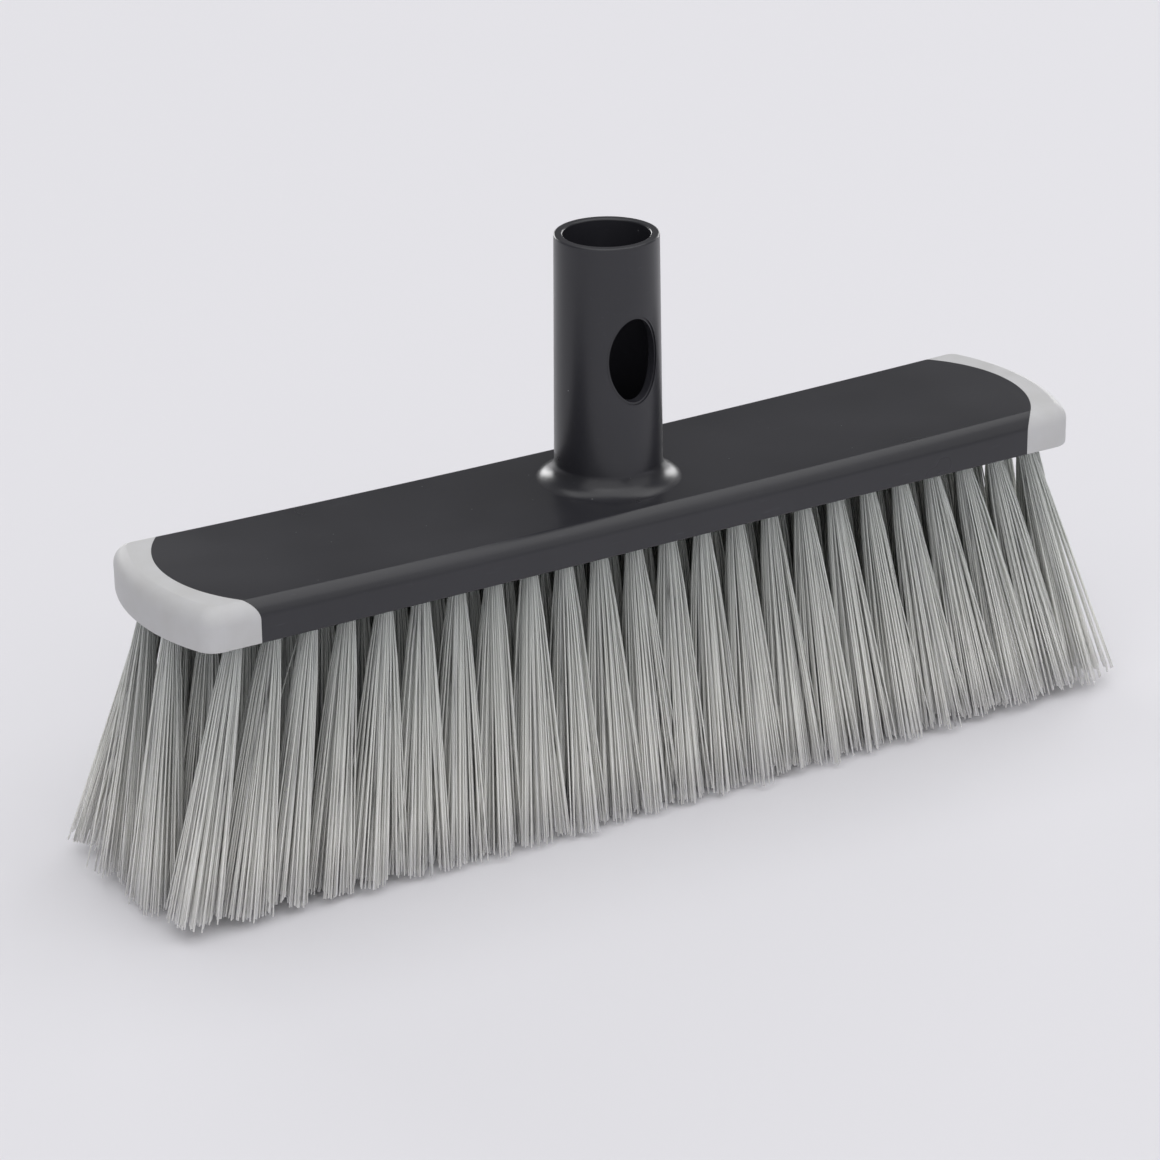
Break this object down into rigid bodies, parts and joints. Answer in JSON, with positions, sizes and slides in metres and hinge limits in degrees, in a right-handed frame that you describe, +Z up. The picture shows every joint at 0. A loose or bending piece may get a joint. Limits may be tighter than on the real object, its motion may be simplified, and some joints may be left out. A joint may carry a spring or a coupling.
{
  "type": "broom head",
  "caption": "Broom head with four rows of splayed bristle tufts, soft end caps and an upright click-in handle socket with an oval window.",
  "frame": {"origin": "centre of the plane of the trimmed bristle tips, under the handle socket", "axes": "+X along the head to the right end seen from the window's side, -Y towards the side with the socket's window, +Z up the handle socket"},
  "size_m": [0.3424, 0.0778, 0.176],
  "materials": {
    "block_plastic": "satin moulded polypropylene, charcoal grey",
    "soft_cap": "soft matt light-grey thermoplastic elastomer, overmoulded",
    "anchor_wire": "bright flat steel wire",
    "bristle": "extruded polypropylene filament, silver grey, slightly translucent"
  },
  "bodies": {
    "head": {"block": "block_plastic", "left_end_cap": "soft_cap", "right_end_cap": "soft_cap", "anchors_front_outer": "anchor_wire", "anchors_front_inner": "anchor_wire", "anchors_back_inner": "anchor_wire", "anchors_back_outer": "anchor_wire", "tuft_roots_front_outer": "bristle", "tuft_roots_front_inner": "bristle", "tuft_roots_back_inner": "bristle", "tuft_roots_back_outer": "bristle"},
    "front_outer_row": {"bristles_front_outer_1": "bristle", "bristles_front_outer_2": "bristle", "bristles_front_outer_3": "bristle", "bristles_front_outer_4": "bristle", "bristles_front_outer_5": "bristle", "bristles_front_outer_6": "bristle"},
    "front_inner_row": {"bristles_front_inner_1": "bristle", "bristles_front_inner_2": "bristle", "bristles_front_inner_3": "bristle", "bristles_front_inner_4": "bristle", "bristles_front_inner_5": "bristle", "bristles_front_inner_6": "bristle"},
    "back_inner_row": {"bristles_back_inner_1": "bristle", "bristles_back_inner_2": "bristle", "bristles_back_inner_3": "bristle", "bristles_back_inner_4": "bristle", "bristles_back_inner_5": "bristle", "bristles_back_inner_6": "bristle"},
    "back_outer_row": {"bristles_back_outer_1": "bristle", "bristles_back_outer_2": "bristle", "bristles_back_outer_3": "bristle", "bristles_back_outer_4": "bristle", "bristles_back_outer_5": "bristle", "bristles_back_outer_6": "bristle"}
  },
  "joints": [
    {"name": "front_outer_flex", "type": "hinge", "parent": "head", "child": "front_outer_row", "pos_m": [0, -0.024, 0.0844], "axis": [1, 0, 0], "range_deg": [-15, 15], "stiffness_Nm_per_rad": 0.8},
    {"name": "front_inner_flex", "type": "hinge", "parent": "head", "child": "front_inner_row", "pos_m": [0, -0.008, 0.0844], "axis": [1, 0, 0], "range_deg": [-15, 15], "stiffness_Nm_per_rad": 0.8},
    {"name": "back_inner_flex", "type": "hinge", "parent": "head", "child": "back_inner_row", "pos_m": [0, 0.008, 0.0844], "axis": [1, 0, 0], "range_deg": [-15, 15], "stiffness_Nm_per_rad": 0.8},
    {"name": "back_outer_flex", "type": "hinge", "parent": "head", "child": "back_outer_row", "pos_m": [0, 0.024, 0.0844], "axis": [1, 0, 0], "range_deg": [-15, 15], "stiffness_Nm_per_rad": 0.8}
  ],
  "couplings": [
    {"joint": "front_inner_flex", "follows": "front_outer_flex", "ratio": 1},
    {"joint": "back_inner_flex", "follows": "front_outer_flex", "ratio": 1},
    {"joint": "back_outer_flex", "follows": "front_outer_flex", "ratio": 1}
  ]
}
